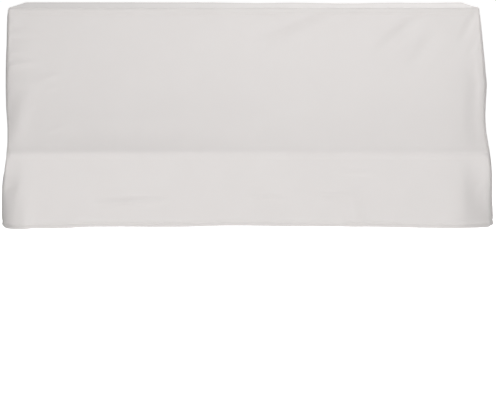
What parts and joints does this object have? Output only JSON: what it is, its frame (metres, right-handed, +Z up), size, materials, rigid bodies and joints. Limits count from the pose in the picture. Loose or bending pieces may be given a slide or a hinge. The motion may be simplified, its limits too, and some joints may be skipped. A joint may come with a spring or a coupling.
{
  "type": "upright piano cover",
  "caption": "Fitted cloth cover for an upright piano: flat top, front sloping out over the keyboard lid to a straight skirt, with sides and back down to the same hem.",
  "frame": {"origin": "centre of the top panel's underside, which lies on the piano's lid", "axes": "+Z up, -Y towards the pianist, +X to the right of someone facing the front"},
  "size_m": [1.6299, 0.6659, 0.6925],
  "materials": {
    "cover_cloth": "thick matt off-white cloth with a fine nap"
  },
  "bodies": {
    "root": {"top_panel": "cover_cloth", "front_panel": "cover_cloth", "back_panel": "cover_cloth", "side_panel_left": "cover_cloth", "side_panel_right": "cover_cloth"}
  },
  "joints": []
}
